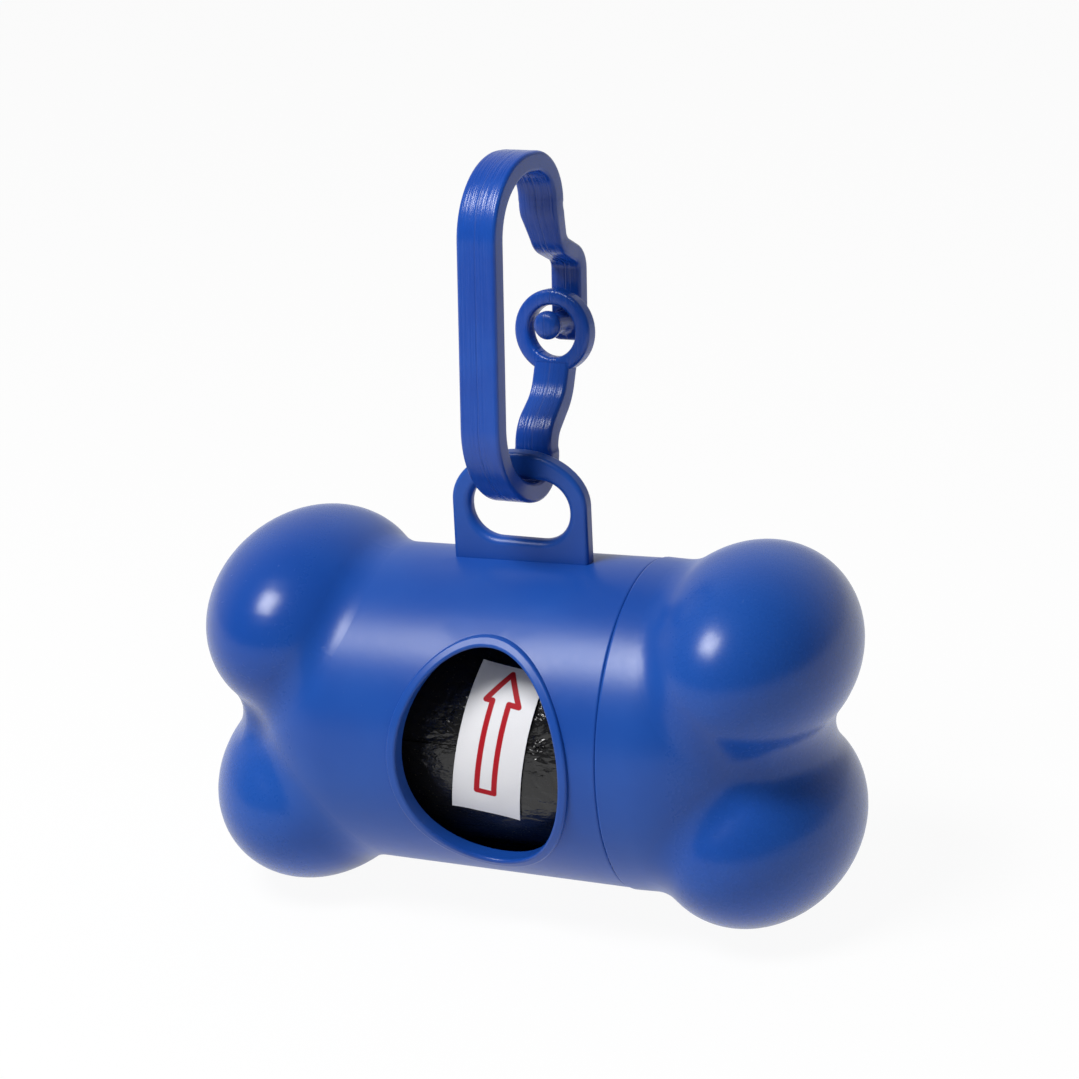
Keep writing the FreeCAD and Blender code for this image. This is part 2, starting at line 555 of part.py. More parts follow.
def half_turn(radius, shift, start, end):
    """An arc round the roll, about a centre that is shifted to the front; angles from the front upwards."""
    points = []
    for turn in (start, (start + end) / 2, end):
        points.append(FreeCAD.Vector(0, -shift - radius * math.cos(turn), radius * math.sin(turn)))
    return Part.Arc(*points)


def bag(name, inside):
    """One bag's folded film, wrapped once round the roll from the front, over the top and underneath."""
    end = 2 * math.pi - size("perforation") / inside
    middle = inside + WRAP / 2
    upper = [half_turn(inside + depth, 0, 0, math.pi) for depth in (0, FILM)]
    lower = [half_turn(middle + depth, WRAP / 2, math.pi, end) for depth in (0, FILM)]
    ends = [Part.LineSegment(upper[0].StartPoint, upper[1].StartPoint),
            Part.LineSegment(lower[0].EndPoint, lower[1].EndPoint)]
    outline = doc.addObject("Part::Feature", f"{name}_outline")
    outline.Shape = Part.Wire(Part.__sortEdges__([line.toShape() for line in upper + lower + ends]))
    outline.setExpression("Placement.Base.x", ROLL_START)
    outline.setExpression("Placement.Base.z", ROLL_AXIS)
    film = doc.addObject("Part::Extrusion", name)
    film.Base = outline
    film.DirMode = "Custom"
    film.Dir = FreeCAD.Vector(1, 0, 0)
    film.Solid = True
    film.setExpression("LengthFwd", ROLL_LENGTH)
    return film


bags = {}
for number in range(BAG_COUNT):
    node = f"bag_{number + 1:02d}"
    bags[node] = bag(f"{node}_film", size("core_radius") + size("wrap_gap") + number * WRAP)

# The label is cut out of a paper tube round the roll by a card that is turned askew in front of it
LABEL_INSIDE = f"({ROLL} + Sizes.wrap_gap)"
LABEL_LENGTH = f"(2 * {ROLL} * sin(Sizes.label_span / 2 * 1 deg))"
LABEL_RISE = FreeCAD.Rotation(FreeCAD.Vector(1, 0, 0), -size("label_rise"))
LABEL_TURN = LABEL_RISE.multiply(FreeCAD.Rotation(FreeCAD.Vector(0, 1, 0), size("label_tilt")))
LABEL_CORNER = FreeCAD.Vector(-size("label_width") / 2, -value(ROLL) - size("overrun"),
                              -value(LABEL_LENGTH) / 2)
LABEL_OUTSIDE = f"({LABEL_INSIDE} + Sizes.label_thickness)"
paper_outside = rod("paper_outside", LABEL_OUTSIDE, ROLL_START, ROLL_LENGTH, ROLL_AXIS)
paper_inside = rod("paper_inside", LABEL_INSIDE, ROLL_START, ROLL_LENGTH, ROLL_AXIS)
paper_tube = pair("Part::Cut", "paper_tube", paper_outside, paper_inside)
CARD = {"Length": "Sizes.label_width", "Width": f"{ROLL} / 2 + Sizes.overrun", "Height": LABEL_LENGTH}
label_card = solid("Part::Box", "label_card", CARD, place=())
LABEL_MIDDLE = FreeCAD.Vector(size("label_place"), 0, value(ROLL_AXIS))
label_card.Placement = FreeCAD.Placement(LABEL_MIDDLE + LABEL_TURN.multVec(LABEL_CORNER), LABEL_TURN)
roll_label = pair("Part::Common", "label_paper", paper_tube, label_card)

nodes = {
    "barrel_shell": barrel_shell,
    "end_cap": end_cap,
    "clip_spine": clip_spine,
    "clip_stud_arm": clip_stud_arm,
    "clip_ring_arm": clip_ring_arm,
    "roll_core": core_body,
    **bags,
    "roll_label": roll_label,
}
doc.recompute()
for item in doc.Objects:
    if "Invalid" in item.State or "Error" in item.State:
        raise RuntimeError(f"{item.Name} failed: {item.State}")
for node, item in nodes.items():
    item.Label = node
    if item.Shape.isNull() or not item.Shape.isValid() or len(item.Shape.Solids) != 1:
        raise RuntimeError(f"{node} is not one sound solid")

os.makedirs("parts", exist_ok=True)
for node, item in nodes.items():
    item.Shape.exportStep(f"parts/{node}.step")
    box = item.Shape.optimalBoundingBox()
    extent = f"{box.XLength:.2f} x {box.YLength:.2f} x {box.ZLength:.2f} mm"
    print(f"{node}: {item.Shape.Volume:.1f} mm3, {extent}")
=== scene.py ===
# %% [markdown]
# # A bone-shaped bag dispenser
# The shells, the clip and the roll were drawn and packed as exact solids. This lesson loads them as a
# fixed frame and gives them their looks: plastic, film, paper, and light. Blender counts in metres here,
# so a size that reads better in millimetres is multiplied by MM.

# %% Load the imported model
import math
import bpy
from mathutils import Euler, Matrix, Vector, noise as noises


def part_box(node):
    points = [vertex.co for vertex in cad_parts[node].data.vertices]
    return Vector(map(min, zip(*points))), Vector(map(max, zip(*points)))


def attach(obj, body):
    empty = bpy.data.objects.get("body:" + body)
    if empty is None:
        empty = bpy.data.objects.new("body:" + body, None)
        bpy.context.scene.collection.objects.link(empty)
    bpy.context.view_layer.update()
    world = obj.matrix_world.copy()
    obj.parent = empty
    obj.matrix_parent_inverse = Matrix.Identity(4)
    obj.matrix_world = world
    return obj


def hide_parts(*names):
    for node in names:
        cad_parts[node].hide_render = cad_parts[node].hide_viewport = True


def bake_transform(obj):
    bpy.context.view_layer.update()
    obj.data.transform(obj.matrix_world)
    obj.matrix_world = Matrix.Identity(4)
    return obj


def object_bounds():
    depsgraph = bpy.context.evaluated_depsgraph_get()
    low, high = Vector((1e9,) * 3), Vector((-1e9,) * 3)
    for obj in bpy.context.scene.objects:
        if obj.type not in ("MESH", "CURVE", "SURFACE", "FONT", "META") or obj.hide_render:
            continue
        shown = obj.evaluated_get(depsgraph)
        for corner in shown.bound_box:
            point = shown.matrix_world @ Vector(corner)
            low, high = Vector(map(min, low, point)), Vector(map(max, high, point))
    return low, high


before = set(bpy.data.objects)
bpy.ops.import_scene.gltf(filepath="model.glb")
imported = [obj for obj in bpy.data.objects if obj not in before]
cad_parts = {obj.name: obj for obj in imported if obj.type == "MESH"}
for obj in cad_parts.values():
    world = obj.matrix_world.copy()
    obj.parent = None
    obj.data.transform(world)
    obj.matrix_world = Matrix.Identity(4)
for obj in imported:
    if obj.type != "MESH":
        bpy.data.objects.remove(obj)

CAD_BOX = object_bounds()
MM = 0.001
bpy.ops.object.select_all(action="DESELECT")

# %% [markdown]
# ## The camera
# The photograph looks at the bone from the right of its front and from above, with a long lens. The
# viewing angles give three directions, to the right, up and back to the camera, and a small roll tilts
# the first two. A point in the middle of the barrel is known to lie right of and below the picture's
# middle, so the camera stands that much left of it and above it.

# %% Camera
TURN, RISE, ROLL = math.radians(22.38), math.radians(18.57), math.radians(-2.71)
DISTANCE, LEFT, ABOVE = 480 * MM, 1.504 * MM, 20.578 * MM
SENSOR_WIDTH, LENS_SHARE = 36, 4040 / 1079
BACK = Vector((math.sin(TURN) * math.cos(RISE), -math.cos(TURN) * math.cos(RISE), math.sin(RISE)))
LEVEL = Vector((math.cos(TURN), math.sin(TURN), 0))
PLUMB = BACK.cross(LEVEL)
RIGHT = math.cos(ROLL) * LEVEL + math.sin(ROLL) * PLUMB
UP = math.cos(ROLL) * PLUMB - math.sin(ROLL) * LEVEL
MIDDLE = Vector((2.6, 0, -63.6)) * MM

eye = bpy.data.cameras.new("camera")
eye.sensor_fit = "HORIZONTAL"
eye.sensor_width = SENSOR_WIDTH
eye.lens = SENSOR_WIDTH * LENS_SHARE
eye.clip_start = 0.01
camera = bpy.data.objects.new("camera", eye)
bpy.context.scene.collection.objects.link(camera)
place = MIDDLE + DISTANCE * BACK - LEFT * RIGHT + ABOVE * UP
camera.matrix_world = Matrix.Translation(place) @ Matrix((RIGHT, UP, BACK)).transposed().to_4x4()
bpy.context.scene.camera = camera
bpy.context.scene.view_settings.view_transform = "Standard"
print("camera at", [round(n, 4) for n in place])

# %% [markdown]
# ## Shader sums
# A finish is a tree of nodes, and most of them are sums. This class holds one socket, and Python's own
# operators add the Math nodes, so a mask can be written as it would be on paper. Every other node comes
# from one method, which sets the node up first and then fills or links its sockets.

# %% Sockets that can be added and multiplied
class Wire:
    """One output socket of a node tree."""

    def __init__(self, tree, socket=None):
        self.tree = tree
        self.socket = socket

    def node(self, kind, sockets=None, out=0, **settings):
        """A new node: its settings first, then its sockets. Gives one of its outputs."""
        new = self.tree.nodes.new("ShaderNode" + kind)
        for name, value in settings.items():
            setattr(new, name, value)
        for name, value in (sockets or {}).items():
            if isinstance(value, Wire):
                self.tree.links.new(value.socket, new.inputs[name])
            else:
                new.inputs[name].default_value = value
        return Wire(self.tree, new.outputs[out])

    def maths(self, operation, *values):
        return self.node("Math", dict(enumerate(values)), operation=operation)

    def __add__(self, other):
        return self.maths("ADD", self, other)

    def __sub__(self, other):
        return self.maths("SUBTRACT", self, other)

    def __rsub__(self, other):
        return self.maths("SUBTRACT", other, self)

    def __mul__(self, other):
        return self.maths("MULTIPLY", self, other)

    def __truediv__(self, other):
        return self.maths("DIVIDE", self, other)

    __radd__ = __add__
    __rmul__ = __mul__

    def size(self):
        return self.maths("ABSOLUTE", self)

    def fade(self, low, high):
        """0 at low, 1 at high, and smooth between."""
        sockets = {"Value": self, "From Min": low, "From Max": high, "To Min": 0.0, "To Max": 1.0}
        return self.node("MapRange", sockets, interpolation_type="SMOOTHSTEP")


def finish_named(name):
    """A new material: its surface node and a wire to build its tree from."""
    material = bpy.data.materials.new(name)
    material.use_nodes = True
    return material, material.node_tree.nodes["Principled BSDF"], Wire(material.node_tree)


def plug(surface, name, wire):
    wire.tree.links.new(wire.socket, surface.inputs[name])


print("shader sums ready")

# %% [markdown]
# ## Shell plastic
# The bone is moulded in blue polyethylene: a satin skin that mirrors the studio softly. A real moulding
# is never quite even. The colour drifts a little where the melt flowed, the skin has a fine orange peel,
# and handling leaves hair scratches that only show in the shine. Each of these is a noise in Object
# coordinates. The shaft is held more often than the lobes, so it is duller: a mask along X tells the two
# apart.

# %% Helpers for colours and noises
def blend_colours(wire, share, first, second):
    sockets = {"Factor": share, 6: first, 7: second}
    return wire.node("Mix", sockets, out=2, data_type="RGBA")


def noise(wire, where, scale, detail=2.0, roughness=0.5):
    sockets = {"Vector": where, "Scale": scale, "Detail": detail, "Roughness": roughness}
    return wire.node("TexNoise", sockets)


def stretched(wire, where, scale, turn=(0, 0, 0)):
    sockets = {"Vector": where, "Scale": scale, "Rotation": turn}
    return wire.node("Mapping", sockets)


def scratches(wire, where, along, turn):
    """Hair lines: thin, long streaks of a noise that is drawn out along one direction."""
    streak = noise(wire, stretched(wire, where, along, turn), 1.0, 3.0)
    gap = noise(wire, where, 120.0, 1.0)
    return streak.fade(0.70, 0.74) * gap.fade(0.52, 0.62)


print("colour and noise helpers ready")

# %% Shell plastic
DEEP_BLUE, LIGHT_BLUE = (0.0075, 0.062, 0.335, 1), (0.0115, 0.080, 0.385, 1)
SCRATCH_BLUE = (0.10, 0.19, 0.50, 1)
SHAFT_END, LOBE_START = 15 * MM, 26 * MM
PEEL_DEPTH = 0.12 * MM

shell_plastic, surface, wire = finish_named("shell_plastic")
where = wire.node("TexCoord", out="Object")
drift = noise(wire, where, 45.0, 3.0)
grain = noise(wire, where, 1400.0, 2.0)
peel = noise(wire, where, 420.0, 2.0, 0.6)
hairs = scratches(wire, where, (30, 2600, 2600), (0.2, 0.1, 0.35)) + \
    scratches(wire, where, (2400, 40, 2400), (0.5, 0.3, 0.1))
blue = blend_colours(wire, drift.fade(0.3, 0.7), DEEP_BLUE, LIGHT_BLUE)
blue = blend_colours(wire, hairs * 0.12, blue, SCRATCH_BLUE)
plug(surface, "Base Color", blue)
shaft = 1 - wire.node("SeparateXYZ", {0: where}, out="X").size().fade(SHAFT_END, LOBE_START)
plug(surface, "Roughness", 0.22 + shaft * 0.08 + drift * 0.05 + grain * 0.05 + hairs * 0.10)
height = peel * 0.8 + grain * 0.25 - hairs * 0.5
plug(surface, "Normal", wire.node("Bump", {"Strength": 0.10, "Distance": PEEL_DEPTH, "Height": height}))
surface.inputs["Specular IOR Level"].default_value = 0.34
for node in ("barrel_shell", "end_cap"):
    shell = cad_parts[node]
    shell.data.materials.clear()
    shell.data.materials.append(shell_plastic)
print("shell plastic on barrel_shell and end_cap")

# %% [markdown]
# ## The clip's place
# The clip is one moulded strap in a flat plane, and it hangs turned and leaning in the lug's eye. It is
# easiest to draw where it stands straight: X across the strap, Y to the rear, Z up, with the inside of
# its top at zero. This matrix then gives a finished piece the lean that the exact model has, round the
# heel of the lower bow.

# %% Where the clip hangs
CLIP_TURN = Euler((math.radians(-7.6), math.radians(-2.4), math.radians(-6.9)))
HEEL = Vector((0, 0, -36.1)) * MM
LIFT = Vector((0, 0, 1.3)) * MM
CLIP_PLACE = Matrix.Translation(HEEL + LIFT) @ CLIP_TURN.to_matrix().to_4x4() @ Matrix.Translation(-HEEL)


def clip_point(rear, up):
    return CLIP_PLACE @ (Vector((0, rear, up)) * MM)


print("the clip's top lies at", [round(n, 4) for n in clip_point(0, 0)])

# %% [markdown]
# ## Clip plastic
# The clip is moulded in the same blue, with a glossier skin. Fine lines run along the strap, because the
# mould was polished that way: they spread a highlight over the strap's whole width. Down the middle of
# each broad face runs another line, where the two halves of the mould met. Both follow the strap, so they
# need the clip's own upright coordinates: a Mapping node of the Texture kind undoes the lean, and X = 0
# is then the middle.

# %% Clip plastic
DEEP_CLIP, LIGHT_CLIP = (0.0050, 0.052, 0.330, 1), (0.0085, 0.070, 0.385, 1)
LINE_BLUE = (0.003, 0.020, 0.14, 1)
LINE_WANDER, LINE_CORE, LINE_EDGE = 0.25 * MM, 0.04 * MM, 0.13 * MM

clip_plastic, surface, wire = finish_named("clip_plastic")
where = wire.node("TexCoord", out="Object")
lean = {"Vector": where, "Location": CLIP_PLACE.translation, "Rotation": CLIP_TURN}
upright = wire.node("Mapping", lean, vector_type="TEXTURE")
across = wire.node("SeparateXYZ", {0: upright}, out="X")
wander = (noise(wire, where, 160.0, 2.0) - 0.5) * LINE_WANDER
mould_line = 1 - (across + wander).size().fade(LINE_CORE, LINE_EDGE)
drift = noise(wire, where, 90.0, 3.0)
grain = noise(wire, where, 1700.0, 2.0)
peel = noise(wire, where, 520.0, 2.0, 0.6)
hairs = scratches(wire, where, (2400, 2400, 60), (0.1, 0.2, 0.0))
polish = noise(wire, stretched(wire, upright, (2400, 55, 55)), 1.0, 3.0, 0.6)
blue = blend_colours(wire, drift.fade(0.3, 0.7), DEEP_CLIP, LIGHT_CLIP)
blue = blend_colours(wire, mould_line * 0.16, blue, LINE_BLUE)
plug(surface, "Base Color", blue)
plug(surface, "Roughness", 0.20 + drift * 0.05 + grain * 0.05 + hairs * 0.15 + mould_line * 0.15)
height = polish * 2.1 + peel * 0.25 + grain * 0.07 - hairs * 0.2 - mould_line * 0.4
plug(surface, "Normal", wire.node("Bump", {"Strength": 0.5, "Distance": PEEL_DEPTH, "Height": height}))
surface.inputs["Specular IOR Level"].default_value = 0.42
print("clip plastic with", len(wire.tree.nodes), "nodes")

# %% [markdown]
# ## The clip's spine
# A strap could be a curve with a bevel, but a moulded strap has a flat section with soft corners, and its
# bends are true arcs. So it is drawn out: a plane with beveled corners is the section, Extrude pulls it
# along the straight runs, and Spin swings it round the bends. A path is a list of such moves, and the
# place and the heading are worked out on the way. A Weighted Normal modifier keeps the broad faces
# looking flat between their soft corners. The spine goes from the rear of the top crook to the rear of
# the lower bow.

# %% Helpers for a strap
STRAP_WIDTH, STRAP_THICKNESS, STRAP_CORNER = 5.1, 2.4, 0.5
WELD_GAP, CLIP_EDGE_ANGLE = 0.000001, math.radians(42)


def section(name, rear, up):
    """A level plate with round corners, in edit mode: the start of a strap."""
    bpy.ops.object.select_all(action="DESELECT")
    bpy.ops.mesh.primitive_plane_add(size=1, location=(0, rear * MM, up * MM))
    piece = bpy.context.object
    piece.name = name
    piece.scale = (STRAP_WIDTH * MM, STRAP_THICKNESS * MM, 1)
    bpy.ops.object.transform_apply(location=True, scale=True)
    bpy.ops.object.mode_set(mode="EDIT")
    bpy.ops.mesh.select_all(action="SELECT")
    bpy.ops.mesh.bevel(offset=STRAP_CORNER * MM, segments=4, affect="VERTICES")
    bpy.ops.mesh.select_all(action="SELECT")
    return piece


def pull(rear, up):
    """Extrudes what is selected along a straight line."""
    bpy.ops.mesh.extrude_region_move(TRANSFORM_OT_translate={"value": (0, rear * MM, up * MM)})


def close():
    """Leaves edit mode with a clean, outward mesh."""
    bpy.ops.mesh.select_all(action="SELECT")
    bpy.ops.mesh.remove_doubles(threshold=WELD_GAP)
    bpy.ops.mesh.normals_make_consistent(inside=False)
    bpy.ops.object.mode_set(mode="OBJECT")


def draw_strap(name, rear, up, heading, moves):
    """Moves: run (length), bend (degrees, radius, steps) and slim (shares of the width and thickness)."""
    piece = section(name, rear, up)
    for move, *values in moves:
        ahead, aside = math.cos(math.radians(heading)), math.sin(math.radians(heading))
        if move == "run":
            pull(values[0] * ahead, values[0] * aside)
            rear, up = rear + values[0] * ahead, up + values[0] * aside
        elif move == "bend":
            degrees, radius, steps = values
            reach = math.copysign(radius, degrees)
            centre = rear - reach * aside, up + reach * ahead
            bpy.ops.mesh.spin(steps=steps, angle=math.radians(degrees), axis=(-1, 0, 0),
                              center=(0, centre[0] * MM, centre[1] * MM))
            heading += degrees
            rear = centre[0] + reach * math.sin(math.radians(heading))
            up = centre[1] - reach * math.cos(math.radians(heading))
        else:
            bpy.ops.transform.resize(value=(*values, 1), center_override=(0, rear * MM, up * MM))
    close()
    print(name, "ends", round(rear, 2), "mm to the rear and", round(up, 2), "mm up")
    return piece


def hang(piece, node):
    """Gives a clip piece the clip's lean and its finish, and hides the node that it stands for."""
    bpy.ops.object.select_all(action="DESELECT")
    piece.select_set(True)
    bpy.context.view_layer.objects.active = piece
    piece.matrix_world = CLIP_PLACE
    bpy.ops.object.transform_apply(location=True, rotation=True)
    bpy.ops.object.shade_smooth_by_angle(angle=CLIP_EDGE_ANGLE)
    level = piece.modifiers.new("level_faces", "WEIGHTED_NORMAL")
    level.keep_sharp = True
    bpy.ops.object.modifier_apply(modifier="level_faces")
    piece.data.materials.append(clip_plastic)
    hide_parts(node)
    print(piece.name, "has", len(piece.data.polygons), "faces")


print("strap section", STRAP_WIDTH, "x", STRAP_THICKNESS, "mm")

# %% Spine
UPWARDS, DOWNWARDS = 90, -90
CROOK_REAR, CROOK_UP, CROOK_RADIUS, CROOK_FLAT = 6.1, -3.9, 5.1, 1.0
FRONT_RADIUS, FRONT_RUN = 8.5, 21.5
BOW_REAR, BOW_UP = 4.05, -33.25
spine = draw_strap("clip_spine_strap", CROOK_REAR, CROOK_UP, UPWARDS, (
    ("bend", 90, CROOK_RADIUS, 14), ("run", CROOK_FLAT),
    ("bend", 90, FRONT_RADIUS, 20), ("run", FRONT_RUN),
    ("bend", 90, FRONT_RADIUS, 20), ("bend", 90, BOW_REAR, 14)))
hang(spine, "clip_spine")
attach(spine, "clip")

# %% [markdown]
# ## The upper arm and its stud
# The upper arm grows out of the crook without a seam. It gets slimmer while it leans to the rear, makes a
# knee and ends in a straight tail. A stud stands forward from the tail, with a flared root, a waist and a
# round head. The stud is a circle drawn out and resized step by step, as on a lathe, and a Boolean joins it
# to the arm. On the real moulding the strap itself bends here.

# %% Upper arm
upper_arm = draw_strap("clip_upper_arm", CROOK_REAR, CROOK_UP, DOWNWARDS, (
    ("run", 0.3), ("slim", 0.985, 0.96), ("bend", 25, 3.0, 4),
    *4 * (("run", 0.8), ("slim", 0.955, 0.97)), ("bend", 43, 2.5, 6),
    *3 * (("run", 0.811), ("slim", 0.985, 1)), ("bend", -68, 2.2, 9),
    *4 * (("run", 1.88),), ("run", 0.5), ("slim", 0.95, 0.88),
    ("run", 0.35), ("slim", 0.9, 0.75), ("run", 0.15), ("slim", 0.82, 0.6)))

# %% Stud
STUD_UP, STUD_POINTS, UPPER_BLEND_END = -18.75, 36, -7.5
STUD_PROFILE = ((2.0, 12.5), (1.95, 11.8), (1.6, 11.5), (1.36, 11.0), (1.3, 10.3), (1.3, 8.3), (1.42, 7.9),
                (1.66, 7.6), (1.7, 7.3), (1.68, 6.95), (1.5, 6.6), (1.15, 6.38), (0.6, 6.26))


def upright_circle(points, radius, rear, up, fill):
    """A circle that faces the front, in edit mode."""
    bpy.ops.object.select_all(action="DESELECT")
    bpy.ops.mesh.primitive_circle_add(vertices=points, radius=radius * MM, fill_type=fill,
                                      rotation=(math.pi / 2, 0, 0), location=(0, rear * MM, up * MM))
    bpy.ops.object.transform_apply(location=True, rotation=True)
    bpy.ops.object.mode_set(mode="EDIT")
    bpy.ops.mesh.select_all(action="SELECT")
    return bpy.context.object


def widen(share, rear, up):
    """Resizes what is selected round an axis from front to rear."""
    bpy.ops.transform.resize(value=(share, 1, share), center_override=(0, rear * MM, up * MM))


def join_to(arm, extra):
    """Joins a second closed shape to an arm."""
    bpy.ops.object.select_all(action="DESELECT")
    bpy.context.view_layer.objects.active = arm
    arm.select_set(True)
    union = arm.modifiers.new("joined", "BOOLEAN")
    union.operation = "UNION"
    union.solver = "EXACT"
    union.object = extra
    bpy.ops.object.modifier_apply(modifier="joined")
    bpy.data.objects.remove(extra)


stud = upright_circle(STUD_POINTS, *STUD_PROFILE[0], STUD_UP, "NGON")
for (radius, rear), (next_radius, next_rear) in zip(STUD_PROFILE, STUD_PROFILE[1:]):
    pull(next_rear - rear, 0)
    widen(next_radius / radius, next_rear, STUD_UP)
close()
join_to(upper_arm, stud)
hang(upper_arm, "clip_stud_arm")
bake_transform(upper_arm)

# %% [markdown]
# ## The lower arm and its ring
# The lower arm rises behind the lower bow, leans to the rear and straightens into a flat ring, which the
# stud pokes through when the clip is closed. The ring is a circle whose edge is extruded inwards to an
# annulus, then to the rear for its depth. A Bevel modifier softens its rims before the Boolean joins it
# to the arm.

# %% Lower arm
lower_arm = draw_strap("clip_lower_arm", BOW_REAR, BOW_UP, UPWARDS, (
    *2 * (("run", 0.3), ("slim", 0.97, 1.04)), ("bend", -46.1, 4.0, 10),
    *2 * (("run", 1.04), ("slim", 0.985, 1)), ("bend", 29.1, 6.0, 8), ("run", 2.2)))

# %% Ring
RING_FRONT, RING_UP, RING_DEPTH = 7.9, -19.6, 2.2
RING_RADIUS, RING_BORE, RIM_ROUND = 5.0, 3.1, 0.5
RING_POINTS, RIM_ANGLE, LOWER_BLEND_END = 64, math.radians(60), -30.0
ring = upright_circle(RING_POINTS, RING_RADIUS, RING_FRONT, RING_UP, "NOTHING")
bpy.ops.mesh.extrude_region_move()
widen(RING_BORE / RING_RADIUS, RING_FRONT, RING_UP)
bpy.ops.mesh.select_all(action="SELECT")
pull(RING_DEPTH, 0)
close()
soft_rims = ring.modifiers.new("soft_rims", "BEVEL")
soft_rims.width = RIM_ROUND * MM
soft_rims.segments = 4
soft_rims.limit_method = "ANGLE"
soft_rims.angle_limit = RIM_ANGLE
bpy.ops.object.modifier_apply(modifier="soft_rims")
join_to(lower_arm, ring)
hang(lower_arm, "clip_ring_arm")
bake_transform(lower_arm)

# %% [markdown]
# ## Bag film
# The bags are thin black film, folded flat and wound up tight. Film has no body of its own: it is glossy,
# and its creases decide where the light glints. Big folds are modelled in the mesh. The fine crackle
# between them is a bump of two stretched noises, drawn out along the roll, because the film was pulled
# while it was wound.

# %% Bag film
DEEP_BLACK, WORN_BLACK = (0.0065, 0.0065, 0.007, 1), (0.0095, 0.0095, 0.0105, 1)
DUST_GREY = (0.05, 0.05, 0.05, 1)
CREASE_DEPTH = 0.4 * MM

bag_film, surface, wire = finish_named("bag_film")
where = wire.node("TexCoord", out="Object")
creases = noise(wire, stretched(wire, where, (260, 700, 700), (0.3, 0.1, 0.2)), 1.0, 4.0, 0.6)
crackle = noise(wire, stretched(wire, where, (900, 1800, 1800), (0.1, 0.4, 0.5)), 1.0, 3.0, 0.6)
ridges = 1 - ((creases - 0.5).size() * 9.0).fade(0.0, 1.0)
dust = noise(wire, where, 3500.0, 2.0).fade(0.66, 0.76)
black = blend_colours(wire, creases, DEEP_BLACK, WORN_BLACK)
black = blend_colours(wire, dust * 0.25, black, DUST_GREY)
plug(surface, "Base Color", black)
plug(surface, "Roughness", 0.13 + crackle * 0.10 + dust * 0.25)
height = creases * 0.7 + ridges * 0.2 + crackle * 0.10
plug(surface, "Normal", wire.node("Bump", {"Strength": 0.4, "Distance": CREASE_DEPTH, "Height": height}))
surface.inputs["IOR"].default_value = 1.5
print("bag film with", len(wire.tree.nodes), "nodes")

# %% [markdown]
# ## Folds in the outer film
# The label pulls at the film that it is stuck to, so sharp folds fan out from its two long edges. They
# run along rays from a root on each edge: a noise of the ray's angle is folded up by taking its size,
# which makes ridges. Above the free edge of the last bag the film is loose, and there the folds are
# deepest.

# %% Folds
BAGS, TURNS = 15, 3
FIRST_RADIUS, LAST_RADIUS = 5.62 * MM, 14.2 * MM
FREE_EDGE = math.radians(11.6)
FOLD_ROOTS = ((4.9, math.radians(9), 1, 0.52), (-4.0, math.radians(15), -1, 0.14))
FOLD_LIMIT, FOLD_REACH, HELD_SHARE, FINE_SHARE, SHARPNESS = 12, 5, 0.4, 0.4, 3.2
WAVE_DEPTH, WAVE_ALONG, WAVE_ROUND = 0.05, 0.13, 2.2
BROAD_TURN, BROAD_REACH, FINE_TURN, FINE_REACH = 3.6, 0.35, 11, 0.8


def crumple(along, angle):
    """How far the outer film is pushed in, in millimetres, at a place along and round the roll."""
    push = WAVE_DEPTH * noises.noise(Vector((along * WAVE_ALONG, angle * WAVE_ROUND, 0))) + WAVE_DEPTH
    for root, height, side, depth in FOLD_ROOTS:
        out, up = (along - root) * side, (angle - height) * LAST_RADIUS / MM
        reach, ray = math.hypot(out, up), math.atan2(up, out)
        if out > 0 and reach < FOLD_LIMIT:
            broad = noises.noise(Vector((ray * BROAD_TURN, reach * BROAD_REACH, root)))
            fine = noises.noise(Vector((ray * FINE_TURN, reach * FINE_REACH, root * 2)))
            fold = max(1 - abs(broad) * SHARPNESS, 0) + FINE_SHARE * max(1 - abs(fine) * SHARPNESS, 0)
            depth *= 1 if angle > FREE_EDGE else HELD_SHARE
            push += depth * fold * min(out, 1) * math.exp(-(reach / FOLD_REACH) ** 2)
    return push


print("folds up to", FOLD_ROOTS[0][-1], "mm deep")

# %% [markdown]
# ## The wound bags
# All fifteen bags are one spiral, each with three turns of it, torn off from the next at a perforation. A
# grid is wound up by moving its points: one side of it goes round the roll, the other runs along it. The
# inner bags only show at the roll's ends, so they stay coarse. The outermost has most of its points where
# the window shows them: its evenly spaced points are led through a bent line, which is flat where they
# crowd together.

# %% Winding the bags
CORE_LOW, CORE_HIGH = [Vector(corner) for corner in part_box("roll_core")]
AXIS_UP = (CORE_LOW.z + CORE_HIGH.z) / 2
ROLL_MIDDLE = (CORE_LOW.x + CORE_HIGH.x) / 2
FILM_WIDTH = CORE_HIGH.x - CORE_LOW.x - 0.8 * MM
PITCH = (LAST_RADIUS - FIRST_RADIUS) / (BAGS * TURNS)
FILM_THICKNESS, RAGGED_EDGE, PERFORATION = 0.07 * MM, 0.25 * MM, 0.0015
SHEET_EDGE_ANGLE = math.radians(50)
INNER_GRID, OUTER_GRID = (144, 8), (360, 110)
EVEN = ((0, 0), (1, 1))
CROWDED_ROUND = ((0, 0), (0.40, 0.667), (0.65, 0.714), (0.79, 0.953), (1, 1))
CROWDED_ALONG = ((0, 0), (0.14, 0.33), (0.86, 0.72), (1, 1))


def through(knots, share):
    """Leads a share from 0 to 1 through a bent line."""
    for (start, low), (end, high) in zip(knots, knots[1:]):
        if share <= end:
            return low + (high - low) * (share - start) / (end - start)
    return 1


